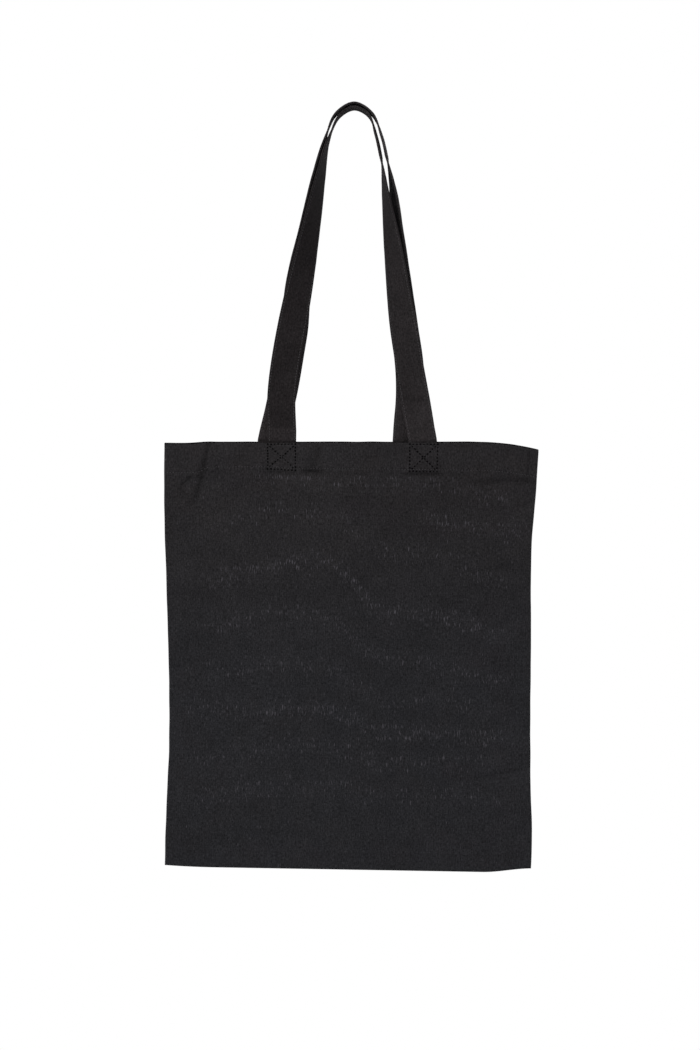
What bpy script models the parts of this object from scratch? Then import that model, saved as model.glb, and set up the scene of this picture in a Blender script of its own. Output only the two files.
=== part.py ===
"""A canvas tote bag hanging by its two handles. Metres, +Z up, the front faces -Y.

The origin is the underside of the handles' arch, where a peg carries the bag.
The back panel is flat, the front panel bows away from it towards the mouth.
"""

import math

import bmesh
import bpy
import numpy as np
from mathutils import Vector

# The bag's body
BAG_WIDTH = 0.366
BAG_HEIGHT = 0.421
CLOTH = 0.0006
HEM_THICKNESS = 3 * CLOTH
HEM_HEIGHT = 0.029
MOUTH_BOW = 0.014
SEAM_PLANE = 0.004

# The handles
HANDLE_RISE = 0.330
STRAP_WIDTH = 0.028
STRAP_THICKNESS = 0.0018
STRAP_OVERLAP = 0.025
FRONT_STRAP_AT = (-0.068, 0.071)
BACK_STRAP_AT = (-0.0785, 0.055)
EDGE_STITCH_INSET = 0.0018
FLOP_CLEARANCE = 0.0001

# Seams and sewing thread
SIDE_ALLOWANCE = 0.012
BOTTOM_ALLOWANCE = 0.017
EDGE_INSET = 0.0015
THREAD = 0.0003
THREAD_WIDTH = 0.0006
HEM_STITCH_DROP = 0.0268
BACK_STITCH_REACH = 0.150  # further out the two hems lie too close for thread between them
BOX_STITCH_INSET = 0.0015
BOX_BAR = 0.0008
CROSS_APEX = 1.5 * BOX_BAR  # from the middle of the cross to the corners between its arms

# Clearances: between touching solids, and of a thickness step along the cloth
GAP = 0.0003
STEP = 0.0002

# How many points follow the front panel's bow, across the panel, up it and across a strap
BOW_COLUMNS = 25
BOW_ROWS = 11
STRAP_COLUMNS = 5

# Levels and planes that follow from the sizes above
TOP = -HANDLE_RISE
BOTTOM = TOP - BAG_HEIGHT
HALF_WIDTH = BAG_WIDTH / 2
HEM_BASE = TOP - HEM_HEIGHT
SEAM_HALF = HEM_THICKNESS - CLOTH + GAP / 2
BACK_OUTER = SEAM_PLANE + SEAM_HALF + CLOTH
LOOP_BASE = TOP + GAP

# Each handle's middle line, from its left end over the arch to its right end, as
# (x, share of the end's distance from the middle plane, height above the hem).
FRONT_ROUTE = [
    (FRONT_STRAP_AT[0], 1.0, GAP),
    (-0.0684, 0.87, 0.050),
    (-0.0592, 0.70, 0.110),
    (-0.0485, 0.56, 0.165),
    (-0.0390, 0.41, 0.215),
    (-0.0297, 0.25, 0.265),
    (-0.0217, 0.11, 0.301),
    (-0.0095, 0.0, 0.325),
    (0.0030, 0.0, HANDLE_RISE + STRAP_THICKNESS / 2 + GAP),
    (0.0165, 0.0, 0.325),
    (0.0250, 0.10, 0.303),
    (0.0302, 0.20, 0.278),
    (0.0340, 0.31, 0.247),
    (0.0404, 0.46, 0.200),
    (0.0500, 0.65, 0.127),
    (0.0597, 0.82, 0.064),
    (FRONT_STRAP_AT[1], 1.0, GAP),
]
BACK_ROUTE = [
    (BACK_STRAP_AT[0], 1.0, GAP),
    (-0.0672, 0.88, 0.050),
    (-0.0568, 0.70, 0.110),
    (-0.0508, 0.56, 0.165),
    (-0.0416, 0.41, 0.215),
    (-0.0334, 0.25, 0.265),
    (-0.0252, 0.11, 0.301),
    (-0.0150, 0.0, 0.325),
    (0.0030, 0.0, 0.3353),
    (0.0210, 0.0, 0.325),
    (0.0304, 0.10, 0.303),
    (0.0362, 0.20, 0.278),
    (0.0418, 0.31, 0.247),
    (0.0450, 0.46, 0.200),
    (0.0515, 0.65, 0.127),
    (0.0585, 0.84, 0.060),
    (BACK_STRAP_AT[1], 1.0, GAP),
]
ROUTE_STEP = 0.011

# How far a leg has turned from facing forward, in degrees, at heights above the hem, on both
# handles. Past 90 the strap shows a little of its outer face. Over the arch it lies level, so
# that one handle slides from under the other as the mouth opens.
LEFT_TURNS = [(0.070, 0), (0.120, 10), (0.192, 44), (0.289, 83), (0.308, 92), (0.324, 90)]
RIGHT_TURNS = [(0.040, 0), (0.085, 8), (0.200, 57), (0.265, 86), (0.283, 95), (0.306, 95), (0.324, 90)]


def clear_scene():
    for old in list(bpy.data.objects):
        bpy.data.objects.remove(old)


def material(name, color, roughness):
    made = bpy.data.materials.new(name)
    made.use_nodes = True
    shader = made.node_tree.nodes["Principled BSDF"]
    shader.inputs["Base Color"].default_value = (*color, 1.0)
    shader.inputs["Roughness"].default_value = roughness
    shader.inputs["Metallic"].default_value = 0.0
    return made


def bow(x, z):
    """How far the front panel stands forward of the seam: most at the middle of the mouth."""
    along = math.sin((z - BOTTOM) / BAG_HEIGHT * math.pi / 2)
    return MOUTH_BOW * along * math.cos(math.pi * x / BAG_WIDTH) ** 2


def panel_thickness(z):
    return HEM_THICKNESS if z > HEM_BASE - STEP / 2 else CLOTH


def front_outer(x, z):
    return SEAM_PLANE - SEAM_HALF - CLOTH - bow(x, z)


def front_inner(x, z):
    return front_outer(x, z) + panel_thickness(z)


def back_outer(x, z):
    return BACK_OUTER


def back_inner(x, z):
    return BACK_OUTER - panel_thickness(z)


def shifted(surface, distance):
    return lambda x, z: surface(x, z) + distance


class Body:
    """A rigid group of pieces, whose empty stands on the axis that the group turns about."""

    def __init__(self, name, pivot, parent=None):
        self.pivot = Vector(pivot)
        self.empty = bpy.data.objects.new(name, None)
        self.empty.empty_display_size = 0.02
        bpy.context.collection.objects.link(self.empty)
        self.empty.location = self.pivot
        if parent:
            self.empty.parent = parent.empty
            self.empty.location = self.pivot - parent.pivot

    def add(self, name, bm, finish):
        """Turns a mesh made in the bag's own frame into a piece of this body."""
        bmesh.ops.recalc_face_normals(bm, faces=bm.faces)
        bmesh.ops.translate(bm, verts=bm.verts, vec=-self.pivot)
        mesh = bpy.data.meshes.new(name)
        bm.to_mesh(mesh)
        bm.free()
        mesh.materials.append(finish)
        piece = bpy.data.objects.new(name, mesh)
        bpy.context.collection.objects.link(piece)
        piece.parent = self.empty
        return piece


def slab(xs, zs, near, far):
    """A closed solid between the surfaces y = near(x, z) and y = far(x, z), over a grid."""
    bm = bmesh.new()
    near_side = [[bm.verts.new((x, near(x, z), z)) for z in zs] for x in xs]
    far_side = [[bm.verts.new((x, far(x, z), z)) for z in zs] for x in xs]
    columns = range(len(xs) - 1)
    rows = range(len(zs) - 1)
    for side in (near_side, far_side):
        for i in columns:
            for j in rows:
                bm.faces.new((side[i][j], side[i + 1][j], side[i + 1][j + 1], side[i][j + 1]))
    for i in columns:
        for j in (0, len(zs) - 1):
            bm.faces.new((near_side[i][j], near_side[i + 1][j], far_side[i + 1][j], far_side[i][j]))
    for j in rows:
        for i in (0, len(xs) - 1):
            bm.faces.new((near_side[i][j], near_side[i][j + 1], far_side[i][j + 1], far_side[i][j]))
    return bm


def smooth_curve(points, step):
    """Evenly spaced points on a smooth curve through the given ones."""
    points = np.array(points)
    chords = np.linalg.norm(np.diff(points, axis=0), axis=1)
    at = np.concatenate([[0.0], np.cumsum(chords)])
    slopes = np.gradient(points, at, axis=0)
    wanted = np.linspace(0.0, at[-1], round(at[-1] / step) + 1)
    left = np.clip(np.searchsorted(at, wanted, side="right") - 1, 0, len(chords) - 1)
    length = chords[left][:, None]
    t = (wanted[:, None] - at[left][:, None]) / length
    return (
        points[left] * (2 * t**3 - 3 * t**2 + 1)
        + slopes[left] * length * (t**3 - 2 * t**2 + t)
        + points[left + 1] * (3 * t**2 - 2 * t**3)
        + slopes[left + 1] * length * (t**3 - t**2)
    )


def turned(height, turns, tilt):
    """A leg's turn from facing forward, in radians. At the hem it lies at the panel's tilt."""
    heights, degrees = zip(*turns)
    at_hem = tilt * max(1.0 - height / heights[0], 0.0)
    return at_hem + math.radians(float(np.interp(height, heights, degrees)))


def band_frames(route, end_y, tilt):
    """(point, direction across the band, outward direction) along a handle."""
    line = smooth_curve([(x, end_y * share, TOP + height) for x, share, height in route], ROUTE_STEP)
    along = np.gradient(line, axis=0)
    apex = int(line[:, 2].argmax())
    frames = []
    for i, point in enumerate(line):
        tangent = Vector(along[i]).normalized()
        left = i < apex
        angle = turned(point[2] - TOP, LEFT_TURNS if left else RIGHT_TURNS, tilt)
        if i in (0, len(line) - 1):  # the ends are cut level with the hem
            tangent = Vector((0.0, 0.0, 1.0 if left else -1.0))
        inward = Vector((tangent.z, 0.0, -tangent.x)).normalized()
        across = inward * math.cos(angle) + Vector((0.0, math.sin(angle), 0.0))
        across = (across - across.dot(tangent) * tangent).normalized()
        frames.append((Vector(point), across, tangent.cross(across)))
    return frames


def band(frames, width, thickness, aside=0.0, outward=0.0):
    """A closed band of rectangular section along the frames, moved aside or outward."""
    bm = bmesh.new()
    rings = []
    for point, across, out in frames:
        middle = point + across * aside + out * outward
        half_width = across * (width / 2)
        half_thickness = out * (thickness / 2)
        corners = (
            middle - half_width - half_thickness,
            middle + half_width - half_thickness,
            middle + half_width + half_thickness,
            middle - half_width + half_thickness,
        )
        rings.append([bm.verts.new(corner) for corner in corners])
    for ring, following in zip(rings, rings[1:]):
        for i in range(4):
            j = (i + 1) % 4
            bm.faces.new((ring[i], ring[j], following[j], following[i]))
    bm.faces.new(rings[0])
    bm.faces.new(rings[-1])
    return bm


def cross_outline(left, right, low, high):
    """The (x, z) points of a rectangle with two diagonals, each drawn as wide as BOX_BAR.

    outer has the rectangle's corners. Along each side lies a three-cornered opening, with
    its corners in first, second and apex, where the apex is next to the middle of the cross.
    """
    middle = Vector(((left + right) / 2, (low + high) / 2))
    outer = [Vector(corner) for corner in ((left, low), (right, low), (right, high), (left, high))]
    inset = []
    for corner in outer:
        inward = middle - corner
        inset.append(corner + Vector((math.copysign(BOX_BAR, inward.x), math.copysign(BOX_BAR, inward.y))))
    first, second, apex = [], [], []
    for i in range(4):
        start, end = inset[i], inset[(i + 1) % 4]
        along = (end - start).normalized()
        first.append(start + along * BOX_BAR)
        second.append(end - along * BOX_BAR)
        apex.append(middle + ((start + end) / 2 - middle).normalized() * CROSS_APEX)
    return outer, first, second, apex


def boxed_cross(left, right, low, high, near, far):
    """A rectangle of stitching with its two diagonals, between two surfaces."""
    outline = cross_outline(left, right, low, high)
    bm = bmesh.new()
    sides = []
    for surface in (near, far):
        sides.append([[bm.verts.new((p.x, surface(p.x, p.y), p.y)) for p in group] for group in outline])
    for outer, first, second, apex in sides:
        for i in range(4):
            j = (i + 1) % 4
            bm.faces.new((outer[i], outer[j], second[i], first[i]))
            bm.faces.new((outer[j], first[j], second[i]))
            bm.faces.new((second[i], first[j], apex[j], apex[i]))
        bm.faces.new(apex)
    (outer, first, second, apex), (far_outer, far_first, far_second, far_apex) = sides
    for i in range(4):
        j = (i + 1) % 4
        bm.faces.new((outer[i], outer[j], far_outer[j], far_outer[i]))
        bm.faces.new((first[i], second[i], far_second[i], far_first[i]))
        bm.faces.new((second[i], apex[i], far_apex[i], far_second[i]))
        bm.faces.new((apex[i], first[i], far_first[i], far_apex[i]))
    return bm


def spaced(low, high, count):
    return [low + (high - low) * i / (count - 1) for i in range(count)]


def make_panels(back, front, canvas):
    ends = [-HALF_WIDTH, HALF_WIDTH]
    levels = [BOTTOM, HEM_BASE - STEP, HEM_BASE, TOP]
    back.add("back_panel", slab(ends, levels, back_inner, back_outer), canvas)
    levels = spaced(BOTTOM, HEM_BASE - STEP, BOW_ROWS) + [HEM_BASE, TOP]
    front.add("front_panel", slab(spaced(*ends, BOW_COLUMNS), levels, front_outer, front_inner), canvas)


def make_seams(back, overlock):
    """The overlocked seam allowances between the panels, inside the bag."""
    near = SEAM_PLANE - SEAM_HALF + GAP
    far = SEAM_PLANE + SEAM_HALF - GAP
    outer = HALF_WIDTH - EDGE_INSET
    inner = HALF_WIDTH - SIDE_ALLOWANCE
    low = BOTTOM + BOTTOM_ALLOWANCE + GAP
    strips = {
        "left_seam": ([-outer, -inner], [low, HEM_BASE - STEP - GAP]),
        "right_seam": ([inner, outer], [low, HEM_BASE - STEP - GAP]),
        "bottom_seam": ([-outer, outer], [BOTTOM + EDGE_INSET, BOTTOM + BOTTOM_ALLOWANCE]),
    }
    for name, (xs, zs) in strips.items():
        back.add(name, slab(xs, zs, lambda x, z: near, lambda x, z: far), overlock)


def make_hem_stitch(body, name, surface, reach, thread):
    """A row of stitching along the hem's lower edge, on the -Y side of a surface."""
    row = TOP - HEM_STITCH_DROP
    levels = [row - THREAD_WIDTH / 2, row + THREAD_WIDTH / 2]
    columns = spaced(-reach, reach, BOW_COLUMNS)
    bm = slab(columns, levels, shifted(surface, -GAP - THREAD), shifted(surface, -GAP))
    body.add(name, bm, thread)


def make_strap_ends(body, panel, places, inner, side, webbing, thread):
    """The handle's two ends, lying on the inside of the hem, each sewn down with a boxed cross."""
    for place, x in zip(("left", "right"), places):
        half = STRAP_WIDTH / 2
        near, far = sorted((side * GAP, side * (GAP + STRAP_THICKNESS)))
        xs = spaced(x - half, x + half, STRAP_COLUMNS)
        bm = slab(xs, [TOP - STRAP_OVERLAP, TOP], shifted(inner, near), shifted(inner, far))
        body.add(f"{panel}_handle_{place}_end", bm, webbing)
        on_strap = 2 * GAP + STRAP_THICKNESS
        near, far = sorted((side * on_strap, side * (on_strap + THREAD)))
        bm = boxed_cross(
            x - half + BOX_STITCH_INSET,
            x + half - BOX_STITCH_INSET,
            TOP - STRAP_OVERLAP + BOX_STITCH_INSET,
            TOP - BOX_STITCH_INSET,
            shifted(inner, near),
            shifted(inner, far),
        )
        body.add(f"{panel}_{place}_box_stitch", bm, thread)


def make_handle(body, panel, frames, stitched_face, webbing, thread):
    """A handle's free loop, and the two rows of stitching along its edges.

    stitched_face is -1 for the face inside the loop and 1 for the face outside it.
    """
    body.add(f"{panel}_handle", band(frames, STRAP_WIDTH, STRAP_THICKNESS), webbing)
    aside = STRAP_WIDTH / 2 - EDGE_STITCH_INSET
    outward = stitched_face * (STRAP_THICKNESS / 2 + GAP + THREAD / 2)
    for row, place in (("outer", -aside), ("inner", aside)):
        bm = band(frames[1:-1], THREAD_WIDTH, THREAD, place, outward)
        body.add(f"{panel}_handle_{row}_stitch", bm, thread)


def main():
    clear_scene()
    canvas = material("black_canvas", (0.0205, 0.0195, 0.0212), 0.92)
    webbing = material("folded_canvas_strap", (0.0190, 0.0172, 0.0180), 0.90)
    overlock = material("overlocked_edge", (0.0180, 0.0172, 0.0185), 0.95)
    thread = material("black_thread", (0.0250, 0.0240, 0.0255), 0.70)

    lap = GAP + STRAP_THICKNESS / 2
    strap_edge = min(abs(x) for x in FRONT_STRAP_AT) - STRAP_WIDTH / 2
    front_end_y = front_inner(sum(map(abs, FRONT_STRAP_AT)) / 2, TOP) + lap
    back_end_y = back_inner(0.0, TOP) - lap
    # The straps' ends lie along the front panel, which slopes back from the middle of the mouth.
    right_end = FRONT_STRAP_AT[1]
    slope = (front_outer(right_end + STEP, TOP) - front_outer(right_end, TOP)) / STEP
    front_tilt = -math.atan(slope)

    back = Body("bag_back", (0.0, 0.0, 0.0))
    front = Body("bag_front", (0.0, SEAM_PLANE - SEAM_HALF, BOTTOM), back)
    front_fold = front_outer(strap_edge, TOP) - FLOP_CLEARANCE
    front_loop = Body("front_handle_body", (0.0, front_fold, LOOP_BASE), front)
    back_loop = Body("back_handle_body", (0.0, BACK_OUTER, LOOP_BASE), back)

    make_panels(back, front, canvas)
    make_seams(back, overlock)
    make_hem_stitch(front, "front_hem_stitch", front_outer, HALF_WIDTH - EDGE_INSET, thread)
    make_hem_stitch(back, "back_hem_stitch", back_inner, BACK_STITCH_REACH, thread)
    make_strap_ends(front, "front", FRONT_STRAP_AT, front_inner, 1, webbing, thread)
    make_strap_ends(back, "back", BACK_STRAP_AT, back_inner, -1, webbing, thread)
    frames = band_frames(FRONT_ROUTE, front_end_y, front_tilt)
    make_handle(front_loop, "front", frames, -1, webbing, thread)
    frames = band_frames(BACK_ROUTE, back_end_y, 0.0)
    make_handle(back_loop, "back", frames, 1, webbing, thread)


main()
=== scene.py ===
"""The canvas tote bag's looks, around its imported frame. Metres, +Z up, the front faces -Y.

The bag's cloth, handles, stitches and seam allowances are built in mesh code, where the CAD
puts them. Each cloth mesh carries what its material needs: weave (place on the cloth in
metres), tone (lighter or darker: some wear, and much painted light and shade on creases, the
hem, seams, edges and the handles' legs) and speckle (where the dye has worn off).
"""

import math
from functools import partial

import bpy
import numpy as np
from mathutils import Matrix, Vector


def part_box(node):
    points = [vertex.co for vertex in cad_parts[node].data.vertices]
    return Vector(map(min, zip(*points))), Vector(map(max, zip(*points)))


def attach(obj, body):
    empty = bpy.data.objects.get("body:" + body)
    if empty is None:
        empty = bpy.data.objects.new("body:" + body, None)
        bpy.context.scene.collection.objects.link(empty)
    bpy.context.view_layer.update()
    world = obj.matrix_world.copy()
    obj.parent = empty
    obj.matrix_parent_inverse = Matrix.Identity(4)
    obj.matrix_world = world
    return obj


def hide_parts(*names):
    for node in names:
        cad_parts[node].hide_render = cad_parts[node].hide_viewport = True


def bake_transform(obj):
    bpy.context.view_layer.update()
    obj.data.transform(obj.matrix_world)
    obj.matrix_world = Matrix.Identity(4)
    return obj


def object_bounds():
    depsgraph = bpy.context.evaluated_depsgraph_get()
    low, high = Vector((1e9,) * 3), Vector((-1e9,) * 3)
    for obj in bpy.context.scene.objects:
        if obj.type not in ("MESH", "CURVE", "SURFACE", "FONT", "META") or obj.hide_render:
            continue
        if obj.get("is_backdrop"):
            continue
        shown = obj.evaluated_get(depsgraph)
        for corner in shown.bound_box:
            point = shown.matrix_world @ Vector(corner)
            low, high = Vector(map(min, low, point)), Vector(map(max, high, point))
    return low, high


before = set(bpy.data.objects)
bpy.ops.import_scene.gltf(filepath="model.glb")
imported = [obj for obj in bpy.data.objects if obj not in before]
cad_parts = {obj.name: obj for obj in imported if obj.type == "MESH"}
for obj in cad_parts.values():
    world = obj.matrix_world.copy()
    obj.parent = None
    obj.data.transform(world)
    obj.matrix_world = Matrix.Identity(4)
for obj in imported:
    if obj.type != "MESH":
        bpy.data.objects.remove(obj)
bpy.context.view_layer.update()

# ---- sizes, from the frame

front_low, front_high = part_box("front_panel")
back_low, back_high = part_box("back_panel")
TOP = front_high.z
BOTTOM = front_low.z
HEIGHT = TOP - BOTTOM
WIDTH = front_high.x - front_low.x
SEAM_PLANE = (front_high.y + back_low.y) / 2  # midway between the two panels
SHELL = back_high.y - SEAM_PLANE  # from the seam plane to a panel's outer face
MOUTH_BOW = SEAM_PLANE - SHELL - front_low.y
LAP = 0.0003  # between cloth layers that touch
CLOTH = 0.0006
HEM_THICKNESS = 3 * CLOTH
HEM_HEIGHT = 0.029
HEM_STITCH_DROP = 0.0268

STRAP_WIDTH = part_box("back_handle_left_end")[1].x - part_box("back_handle_left_end")[0].x
STRAP_THICKNESS = 0.0018
STRAP_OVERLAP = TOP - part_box("back_handle_left_end")[0].z
EDGE_STITCH_INSET = 0.0017
BOX_STITCH_INSET = 0.0006
SEWN_DEPTH = STRAP_OVERLAP + 0.0042  # how far down the inside of the hem a strap is sewn

# The handles' middle lines, as in the CAD: (x, share of the end's y, height above the hem)
LOOP_RISE = 0.0003
FRONT_ROUTE = [
    (-0.068, 1.0, LOOP_RISE), (-0.0684, 0.87, 0.050), (-0.0592, 0.70, 0.110),
    (-0.0485, 0.56, 0.165), (-0.0390, 0.41, 0.215), (-0.0297, 0.25, 0.265),
    (-0.0217, 0.11, 0.301), (-0.0095, 0.0, 0.325), (0.0030, 0.0, 0.3312),
    (0.0165, 0.0, 0.325), (0.0250, 0.10, 0.303), (0.0302, 0.20, 0.278),
    (0.0340, 0.31, 0.247), (0.0404, 0.46, 0.200), (0.0500, 0.65, 0.127),
    (0.0597, 0.82, 0.064), (0.071, 1.0, LOOP_RISE),
]
BACK_ROUTE = [
    (-0.0785, 1.0, LOOP_RISE), (-0.0672, 0.88, 0.050), (-0.0568, 0.70, 0.110),
    (-0.0508, 0.56, 0.165), (-0.0416, 0.41, 0.215), (-0.0334, 0.25, 0.265),
    (-0.0252, 0.11, 0.301), (-0.0150, 0.0, 0.325), (0.0030, 0.0, 0.3353),
    (0.0210, 0.0, 0.325), (0.0304, 0.10, 0.303), (0.0362, 0.20, 0.278),
    (0.0418, 0.31, 0.247), (0.0450, 0.46, 0.200), (0.0515, 0.65, 0.127),
    (0.0585, 0.84, 0.060), (0.055, 1.0, LOOP_RISE),
]
# How far a leg has turned from facing forward, in degrees, at heights above the hem, as in the CAD
LEFT_TURNS = [(0.070, 0), (0.120, 10), (0.192, 44), (0.289, 83), (0.308, 92), (0.324, 90)]
RIGHT_TURNS = [(0.040, 0), (0.085, 8), (0.200, 57), (0.265, 86), (0.283, 95), (0.306, 95), (0.324, 90)]

FRONT, BACK = -1, 1
STRAPS_AT = {side: (route[0][0], route[-1][0]) for side, route in ((FRONT, FRONT_ROUTE), (BACK, BACK_ROUTE))}


# ---- small tools

def smooth(value, start, end):
    t = np.clip((value - start) / (end - start), 0.0, 1.0)
    return t * t * (3 - 2 * t)


def bell(value, spread):
    return np.exp(-((value / spread) ** 2))


def round_off(share):
    """From 0 to 1 along a quarter of a circle."""
    return np.sqrt(1 - (1 - np.clip(share, 0.0, 1.0)) ** 2)


def cubic(t, length, start, slope, end, end_slope):
    """From start to end, with those slopes there, at a share t of the length."""
    return (
        start * (2 * t**3 - 3 * t**2 + 1)
        + slope * length * (t**3 - 2 * t**2 + t)
        + end * (3 * t**2 - 2 * t**3)
        + end_slope * length * (t**3 - t**2)
    )


def through(points, at):
    """A smooth line through (position, value) points."""
    xs, ys = np.array(points).T
    slopes = np.gradient(ys, xs)
    i = np.clip(np.searchsorted(xs, at, side="right") - 1, 0, len(xs) - 2)
    length = xs[i + 1] - xs[i]
    t = np.clip((at - xs[i]) / length, 0.0, 1.0)
    return cubic(t, length, ys[i], slopes[i], ys[i + 1], slopes[i + 1])


def facing(points, way):
    """A normal for each point that faces along y."""
    return np.zeros_like(points) + (0.0, way, 0.0)


class Waves:
    """Smooth irregular waves over a plane, from -1 to 1 or so, the same on every run."""

    def __init__(self, seed, length, stretch=1.0, count=14):
        rng = np.random.default_rng(seed)
        turn = rng.uniform(0, math.tau, count)
        size = math.tau / (length * rng.uniform(0.65, 1.7, count))
        self.kx = size * np.cos(turn)
        self.kz = size * np.sin(turn) / stretch
        self.phase = rng.uniform(0, math.tau, count)
        self.scale = math.sqrt(1.0 / count) * 0.9

    def __call__(self, x, z):
        total = np.zeros(np.broadcast(x, z).shape)
        for kx, kz, phase in zip(self.kx, self.kz, self.phase):
            total += np.sin(kx * x + kz * z + phase)
        return total * self.scale


def add_object(name, data):
    made = bpy.data.objects.new(name, data)
    bpy.context.scene.collection.objects.link(made)
    return made


def mesh_object(name, points, faces, material):
    mesh = bpy.data.meshes.new(name)
    mesh.from_pydata(points.reshape(-1, 3).tolist(), [], faces.tolist())
    mesh.polygons.foreach_set("use_smooth", np.ones(len(mesh.polygons), bool))
    mesh.materials.append(material)
    mesh.update()
    return add_object(name, mesh)


def band_faces(count, around):
    """Faces between rings of points."""
    i, j = np.meshgrid(np.arange(count - 1), np.arange(around), indexing="ij")
    k = (j + 1) % around
    faces = np.stack([i * around + j, i * around + k, (i + 1) * around + k, (i + 1) * around + j], -1)
    return faces.reshape(-1, 4)


def ring_faces(count, around):
    """Faces of a closed skin over rings whose point i lies across from point around-1-i."""
    j = np.arange(around // 2 - 1)
    cap = np.stack([j, around - 1 - j, around - 2 - j, j + 1], -1)
    return np.concatenate([band_faces(count, around), cap, cap[:, ::-1] + (count - 1) * around])


def outward(points, faces):
    """The faces turned so that the closed skin's normals point out."""
    p = points.reshape(-1, 3)
    a, b, c, d = (p[faces[:, i]] for i in range(4))
    volume = (a * np.cross(b, c)).sum() + (a * np.cross(c, d)).sum()
    return faces if volume > 0 else faces[:, ::-1]


def ringed(name, rings, material):
    return mesh_object(name, rings, outward(rings, ring_faces(*rings.shape[:2])), material)


def paint(piece, **values):
    """Stores numbers or vectors on the mesh's points, for its material."""
    for name, value in values.items():
        vector = value.ndim > 1 and value.shape[-1] == 3
        made = piece.data.attributes.new(name, "FLOAT_VECTOR" if vector else "FLOAT", "POINT")
        made.data.foreach_set("vector" if vector else "value", value.astype(np.float32).ravel())


# ---- materials

class Nodes:
    """A short way to write a material's nodes."""

    def __init__(self, name, roughness, sheen, sheen_roughness, sheen_tint, specular):
        self.material = bpy.data.materials.new(name)
        self.material.use_nodes = True
        self.tree = self.material.node_tree
        self.shader = self.tree.nodes["Principled BSDF"]
        for socket, value in (
            ("Roughness", roughness),
            ("Sheen Weight", sheen),
            ("Sheen Roughness", sheen_roughness),
            ("Sheen Tint", (*sheen_tint, 1.0)),
            ("Specular IOR Level", specular),
        ):
            self.shader.inputs[socket].default_value = value

    def put(self, target, value):
        if isinstance(value, bpy.types.NodeSocket):
            self.tree.links.new(value, target)
        else:
            target.default_value = value

    def add(self, kind, inputs, output=0, **settings):
        """A new node's output, with the node's inputs set or linked."""
        node = self.tree.nodes.new("ShaderNode" + kind)
        for name, value in settings.items():
            setattr(node, name, value)
        for key, value in inputs.items():
            self.put(node.inputs[key], value)
        return node.outputs[output]

    def math(self, operation, a, b=0.0, clamp=False):
        return self.add("Math", {0: a, 1: b}, operation=operation, use_clamp=clamp)

    def times(self, a, b):
        return self.math("MULTIPLY", a, b)

    def plus(self, a, b, clamp=False):
        return self.math("ADD", a, b, clamp)

    def attribute(self, name, output):
        return self.add("Attribute", {}, output, attribute_name=name)

    def part(self, vector, axis):
        return self.add("SeparateXYZ", {0: vector}, axis)

    def scaled(self, vector, scale):
        return self.add("VectorMath", {0: vector, 1: scale}, operation="MULTIPLY")

    def noise(self, vector, scale, detail=2.0, rough=0.5):
        inputs = {"Vector": vector, "Scale": scale, "Detail": detail, "Roughness": rough}
        return self.add("TexNoise", inputs, "Fac")

    def remap(self, value, low, high, to_low, to_high, smoothed=False):
        inputs = {"Value": value, "From Min": low, "From Max": high, "To Min": to_low, "To Max": to_high}
        return self.add("MapRange", inputs, interpolation_type="SMOOTHSTEP" if smoothed else "LINEAR")

    def mix(self, share, *colors):
        """Between two colours, each a socket or three numbers."""
        a, b = (c if isinstance(c, bpy.types.NodeSocket) else (*c, 1.0) for c in colors)
        return self.add("Mix", {"Factor": share, 6: a, 7: b}, 2, data_type="RGBA")

    def bump(self, height, strength, distance, under=None):
        inputs = {"Height": height, "Strength": strength, "Distance": distance}
        if under is not None:
            inputs["Normal"] = under
        return self.add("Bump", inputs)

    def finish(self, color, roughness, normal):
        for socket, value in (("Base Color", color), ("Roughness", roughness), ("Normal", normal)):
            self.put(self.shader.inputs[socket], value)
        return self.material


WARP_PITCH = 0.00110  # 18 yarns to the centimetre, two to a pitch
WEFT_PITCH = 0.00116
TWIST_PITCH = 0.00042  # of the strands in sewing thread


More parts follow.
